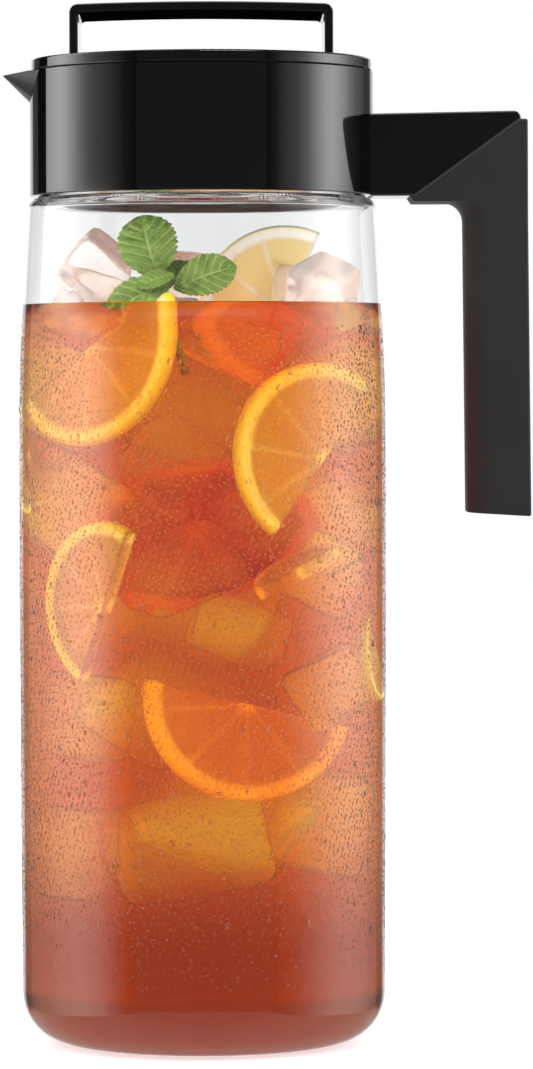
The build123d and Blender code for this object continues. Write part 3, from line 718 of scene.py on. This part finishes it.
def dropPiece(name, place, height, radius, stretch, material):
    # One small dome for all drops: a rim sunk in the glass, a shoulder ring and a top, moved to
    # (angle, height) on the glass and scaled there, all drops at once.
    sides = dew["sides"]
    angle = np.linspace(0, 2 * math.pi, sides, endpoint=False)
    ring = np.stack([np.cos(angle), np.sin(angle)], -1)
    dome = np.vstack([
        np.column_stack([ring, np.full(sides, -dew["sunk"])]),
        np.column_stack([dew["browWide"] * ring, np.full(sides, dew["browHigh"] * dew["height"])]),
        [(0.0, 0.0, dew["height"])],
    ])
    near = np.arange(sides)
    after = (near + 1) % sides
    base = near[::-1][None, :]
    top = np.stack([0 * near + 2 * sides, sides + near, sides + after], -1)
    side = np.stack([near, after, sides + after, sides + near], -1)
    outward = np.stack([np.cos(place), np.sin(place), 0 * place], -1)
    around = np.stack([-np.sin(place), np.cos(place), 0 * place], -1)
    profile = wallProfile(0.0, 0.0)
    reach = np.interp(height, profile[:, 1], profile[:, 0])
    centre = outward * reach[:, None] + np.array([0, 0, 1.0]) * height[:, None]
    scaled = dome[None] * radius[:, None, None]
    points = (centre[:, None] + scaled[..., :1] * around[:, None]
              + scaled[..., 1:2] * stretch[:, None, None] * np.array([0, 0, 1.0])
              + scaled[..., 2:] * outward[:, None])
    first = (np.arange(len(place)) * len(dome))[:, None, None]
    faces = [*(base + first).reshape(-1, sides).tolist(), *(top + first).reshape(-1, 3).tolist(),
             *(side + first).reshape(-1, 4).tolist()]
    piece = newPiece(name, points.reshape(-1, 3), faces, "pitcher", material)
    # the bases are shaded flat, so that they don't turn the normals of the domes
    domed = np.ones(len(faces), bool)
    domed[:len(place)] = False
    piece.data.polygons.foreach_set("use_smooth", domed)
    return piece


def waterMaterial():
    # condensed water: clear, flat round drops, which break the glass's reflection of the studio
    # so that the tea's own colour shows in them
    material = newMaterial("condensedWater")
    shader = addNode(material, "ShaderNodeBsdfPrincipled",
                     {"Base Color": linearColour("#FBF6F2"), "Roughness": 0.0, "IOR": 1.333,
                      "Transmission Weight": 1.0, "Specular IOR Level": 0.4})
    return withSurface(material, shader)


def dropField():
    # Drops keep a space round them as real dew does: drop k sits at the fractions of 0.7549 k and
    # 0.5698 k, which fill the surface evenly, and a little off it. Slow waves thin them out in
    # places, and they thin out near the tea line, at the heel and behind. A few have run into
    # large ones.
    rng = np.random.default_rng(dew["seed"])
    tall = dew["high"] - dew["low"]
    number = np.arange(int(2 * math.pi * glass["belly"] * tall / dew["spacing"] ** 2))
    stray = dew["stray"] * dew["spacing"] * rng.normal(size=(2, len(number)))
    angle = (number * 0.7548776662 % 1) * 2 * math.pi + stray[0] / glass["belly"]
    height = dew["low"] + (number * 0.5698402910 % 1) * tall + stray[1]
    waves = (np.sin(angle * 3 + height * 0.05) + np.sin(angle * 7 - height * 0.11 + 2)
             + np.sin(angle * 13 + height * 0.07 + 1)) / 3
    ends = (np.clip((height - dew["low"]) / 30, 0.25, 1)
            * np.clip((dew["high"] - height) / 12, 0.1, 1))
    behind = 1 - (1 - dew["behind"]) * np.clip((np.sin(angle) - 0.05) / 0.25, 0, 1)
    keep = rng.uniform(0, 1, len(number)) < (0.9 + 0.25 * waves) * ends * behind
    radius = (dew["radius"] * np.exp(dew["spread"] * rng.normal(size=len(number)))
              * (1 + 0.15 * waves))
    large = dew["large"]
    angle = np.concatenate([angle[keep], rng.uniform(0, 2 * math.pi, large)])
    height = np.concatenate([height[keep], rng.uniform(dew["low"] + 8, dew["high"] - 4, large)])
    radius = np.concatenate([radius[keep],
                             dew["largeRadius"] * np.exp(0.25 * rng.normal(size=large))])
    order = np.argsort(height)
    radius = np.minimum(radius, dew["largest"])[order]
    return angle[order], height[order], radius, rng.uniform(0.95, 1.2, len(order))


dropPlace, dropHeight, dropRadius, dropStretch = dropField()
water = waterMaterial()
for band, rows in enumerate(np.array_split(np.arange(len(dropPlace)), dew["bands"])):
    dropPiece(f"dew{band + 1}", dropPlace[rows], dropHeight[rows], dropRadius[rows],
              dropStretch[rows], water)
print("dew:", len(dropPlace), "drops")


# The studio

camera = {"distance": 1548.8, "eyeHeight": 187.3, "photoWidth": 533, "photoHeight": 1069,
          "mmPerPixel": 0.295, "horizonRow": 405.0, "axisColumn": 202.3, "leanDegrees": 0.17,
          "sensor": 36.0}
focalPixels = camera["distance"] / camera["mmPerPixel"]
lens = bpy.data.cameras.new("camera")
lens.sensor_width = camera["sensor"]
lens.lens = camera["sensor"] * focalPixels / camera["photoHeight"]
lens.shift_x = (camera["photoWidth"] / 2 - camera["axisColumn"]) / camera["photoHeight"]
lens.shift_y = (camera["horizonRow"] - camera["photoHeight"] / 2) / camera["photoHeight"]
lens.clip_start, lens.clip_end = 0.05, 50.0
cameraObject = addObject("camera", lens)
cameraObject.location = (0.0, -camera["distance"] * mm, camera["eyeHeight"] * mm)
cameraObject.rotation_euler = (math.radians(90), math.radians(camera["leanDegrees"]), 0.0)
bpy.context.scene.camera = cameraObject

# places and sizes of the panels and the top light in metres, then strengths, where 1 is white,
# and the heights in metres between which the panels change and dim
studio = {"boxDistance": 0.75, "boxFront": -0.8, "boxBack": 0.9, "boxLow": -0.3, "boxHigh": 1.0,
          "topSize": 0.9, "topHeight": 1.25, "topForward": -0.15, "topPower": 9.0, "floorHalf": 3.0,
          "ambient": 0.8, "insideGlass": 2.8, "front": 0.12, "glassFront": 0.45, "table": 0.6,
          "backWide": 1.2, "backLow": 1.05, "backHigh": 0.93, "veil": 1.08, "peak": 5.2,
          "change": (0.262, 0.284), "foot": (-0.08, 0.12), "footLight": 0.5, "bounces": 28}


def studioWorld():
    # What each kind of ray meets: the camera sees white. Mirrors see a white backdrop straight
    # behind, a white table below and black flags between. Glass sees the white backdrop, brighter
    # at its sides. What scatters light gets plain soft grey, and more of it inside the glass.
    world = bpy.data.worlds.new("studio")
    world.use_nodes = True
    world.node_tree.nodes.clear()
    ray = addNode(world, "ShaderNodeLightPath")
    way = addNode(world, "ShaderNodeTexCoord")
    axes = addNode(world, "ShaderNodeSeparateXYZ", links={"Vector": (way, "Generated")})

    def ramp(axis, start, end, low, high):
        return remap(world, (axes, axis), start, end, low, high, "SMOOTHSTEP")

    def combine(operation, first, second):
        return addNode(world, "ShaderNodeMath", links={0: (first, 0), 1: (second, 0)},
                       operation=operation)

    def blend(factor, low, high):
        mix = addNode(world, "ShaderNodeMix", data_type="FLOAT")
        for key, value in (("A", low), ("B", high)):
            if isinstance(value, float):
                mix.inputs[key].default_value = value
            else:
                world.node_tree.links.new(value.outputs[0], mix.inputs[key])
        world.node_tree.links.new(factor, mix.inputs["Factor"])
        return mix

    below = ramp("Z", -0.16, -0.30, 0.0, studio["table"])
    mirrorView = combine("MAXIMUM", ramp("Y", 0.90, 0.94, studio["front"], 1.0), below)
    sideways = addNode(world, "ShaderNodeMath", links={0: (axes, "X")}, operation="ABSOLUTE")
    middle = ramp("Z", 0.012, 0.03, 1.0, studio["backHigh"])
    sides = ramp("Z", 0.012, 0.03, studio["backWide"], studio["backHigh"])
    low = ramp("Z", -0.105, -0.07, studio["backLow"], studio["backWide"])
    world.node_tree.links.new(low.outputs[0], sides.inputs["To Min"])
    wide = addNode(world, "ShaderNodeMapRange", {"From Min": 0.185, "From Max": 0.2},
                   {"Value": (sideways, "Value"), "To Min": (middle, "Result"),
                    "To Max": (sides, "Result")})
    behind = combine("MULTIPLY", ramp("Y", -0.75, -0.2, studio["glassFront"], 1.0), wide)
    glassView = combine("MAXIMUM", behind, combine("MAXIMUM", below, ramp("Z", 0.2, 0.4, 0.0, 1.0)))
    throughGlass = addNode(world, "ShaderNodeMath", {1: 0.5}, {0: (ray, "Transmission Depth")},
                           operation="GREATER_THAN")
    scattered = addNode(world, "ShaderNodeMath", {1: 0.5}, {0: (ray, "Diffuse Depth")},
                        operation="GREATER_THAN")
    soft = blend(throughGlass.outputs[0], studio["ambient"], studio["insideGlass"])
    sharp = blend(throughGlass.outputs[0], mirrorView, glassView)
    plain = blend(scattered.outputs[0], sharp, soft)
    seen = blend(ray.outputs["Is Camera Ray"], plain, 1.0)
    light = addNode(world, "ShaderNodeBackground", {"Color": (1, 1, 1, 1)},
                    {"Strength": (seen, "Result")})
    addNode(world, "ShaderNodeOutputWorld", links={"Surface": (light, "Background")})
    world.cycles.sampling_method = "NONE"
    bpy.context.scene.world = world


def floatCurve(owner, stops, source):
    # a curve of straight runs through (place, value)
    node = addNode(owner, "ShaderNodeFloatCurve", links={"Value": (source, "Result")})
    curve = node.mapping.curves[0]
    for place, value in stops[1:-1]:
        curve.points.new(place, value)
    curve.points[0].location, curve.points[-1].location = stops[0], stops[-1]
    for point in curve.points:
        point.handle_type = "VECTOR"
    node.mapping.update()
    return node


def softbox(name, side, low, high):
    # An upright lit panel beside the object. Its strength follows one curve along its width in
    # its lower part and another above the change, and it dims towards its foot.
    s = studio
    x = side * s["boxDistance"]
    corners = [(x, s["boxFront"], s["boxLow"]), (x, s["boxBack"], s["boxLow"]),
               (x, s["boxBack"], s["boxHigh"]), (x, s["boxFront"], s["boxHigh"])]
    mesh = bpy.data.meshes.new(name)
    mesh.from_pydata(corners, [], [(0, 1, 2, 3) if side < 0 else (3, 2, 1, 0)])
    material = newMaterial(name)
    place = addNode(material, "ShaderNodeTexCoord")
    axes = addNode(material, "ShaderNodeSeparateXYZ", links={"Vector": (place, "Object")})
    along = remap(material, (axes, "Y"), s["boxFront"], s["boxBack"])
    rise = remap(material, (axes, "Z"), *s["change"], 0.0, 1.0, "SMOOTHSTEP")
    foot = remap(material, (axes, "Z"), *s["foot"], s["footLight"], 1.0, "SMOOTHSTEP")
    lower = floatCurve(material, [(spot, s["veil"] * value) for spot, value in low], along)
    upper = floatCurve(material, high, along)
    level = addNode(material, "ShaderNodeMix", data_type="FLOAT",
                    links={"Factor": (rise, "Result"), "A": (lower, "Value"), "B": (upper, "Value")})
    dimmed = addNode(material, "ShaderNodeMath", links={0: (level, "Result"), 1: (foot, "Result")},
                     operation="MULTIPLY")
    strength = addNode(material, "ShaderNodeMath", {1: s["peak"]}, {0: (dimmed, "Value")},
                       operation="MULTIPLY")
    light = addNode(material, "ShaderNodeEmission", links={"Strength": (strength, "Value")})
    mesh.materials.append(withSurface(material, light))
    panel = addObject(name, mesh)
    panel.visible_camera = False
    panel.visible_transmission = False


def floorMaterial():
    # white paper: it takes the object's shadow and a trace of its reflection, and mirrors and
    # glass look past it to the lit studio
    material = newMaterial("whitePaper")
    ray = addNode(material, "ShaderNodeLightPath")
    paper = addNode(material, "ShaderNodeBsdfDiffuse", {"Color": (0.8, 0.8, 0.8, 1)})
    glow = addNode(material, "ShaderNodeEmission", {"Strength": 0.55})
    shine = addNode(material, "ShaderNodeBsdfGlossy", {"Color": (1, 1, 1, 1), "Roughness": 0.03})
    lit = addNode(material, "ShaderNodeAddShader")
    material.node_tree.links.new(paper.outputs[0], lit.inputs[0])
    material.node_tree.links.new(glow.outputs[0], lit.inputs[1])
    polished = mixShaders(material, 0.12, lit, shine)
    past = addNode(material, "ShaderNodeMath", operation="MAXIMUM",
                   links={0: (ray, "Is Glossy Ray"), 1: (ray, "Is Transmission Ray")})
    clear = addNode(material, "ShaderNodeBsdfTransparent")
    # the first output of Light Path is the camera ray
    seen = mixShaders(material, ray, paper, polished)
    surface = mixShaders(material, past, seen, clear)
    return withSurface(material, surface)


studioWorld()
# The places run from the panel's front edge, 0, to its back edge, 1.
softbox("softboxLeft", -1,
        [(0.0, 0.0), (0.073, 0.01), (0.15, 0.10), (0.226, 0.35), (0.292, 0.60), (0.361, 0.71),
         (0.424, 0.73), (0.494, 0.58), (0.572, 0.42), (0.64, 0.27), (0.736, 0.165), (0.868, 0.11),
         (1.0, 0.09)],
        [(0.0, 0.0), (0.12, 0.02), (0.15, 0.04), (0.255, 0.11), (0.34, 0.167), (0.385, 0.244),
         (0.424, 0.358), (0.463, 0.53), (0.509, 0.76), (0.556, 0.933), (0.614, 0.879),
         (0.676, 0.66), (0.757, 0.437), (0.779, 0.41), (0.782, 0.0), (1.0, 0.0)])
softbox("softboxRight", 1,
        [(0.0, 0.0), (0.138, 0.02), (0.205, 0.06), (0.265, 0.15), (0.327, 0.29), (0.393, 0.48),
         (0.463, 0.615), (0.532, 0.60), (0.614, 0.48), (0.695, 0.33), (0.803, 0.17), (0.928, 0.115),
         (1.0, 0.1)],
        [(0.0, 0.0), (0.095, 0.03), (0.15, 0.079), (0.205, 0.12), (0.255, 0.154), (0.292, 0.223),
         (0.336, 0.338), (0.377, 0.558), (0.424, 0.835), (0.463, 1.0), (0.509, 0.985),
         (0.556, 0.78), (0.614, 0.53), (0.676, 0.287), (0.757, 0.144), (0.868, 0.073), (1.0, 0.03)])
half = studio["floorHalf"]
floorMesh = bpy.data.meshes.new("floor")
floorMesh.from_pydata([(-half, -half, 0), (half, -half, 0), (half, half, 0), (-half, half, 0)],
                      [], [(0, 1, 2, 3)])
floorMesh.materials.append(floorMaterial())
floorObject = addObject("floor", floorMesh)
topLight = bpy.data.lights.new("topLight", "AREA")
topLight.shape, topLight.size = "SQUARE", studio["topSize"]
topLight.energy = studio["topPower"]
topObject = addObject("topLight", topLight)
topObject.location = (0.0, studio["topForward"], studio["topHeight"])

scene = bpy.context.scene
scene.view_settings.view_transform = "Standard"
for bounces in ("max_bounces", "transmission_bounces", "glossy_bounces"):
    setattr(scene.cycles, bounces, studio["bounces"])
scene.cycles.transparent_max_bounces = 12
scene.cycles.blur_glossy = 0.0
scene.cycles.diffuse_bounces = 3
scene.cycles.sample_clamp_indirect = 12.0
scene.cycles.use_denoising = True
print("studio ready")
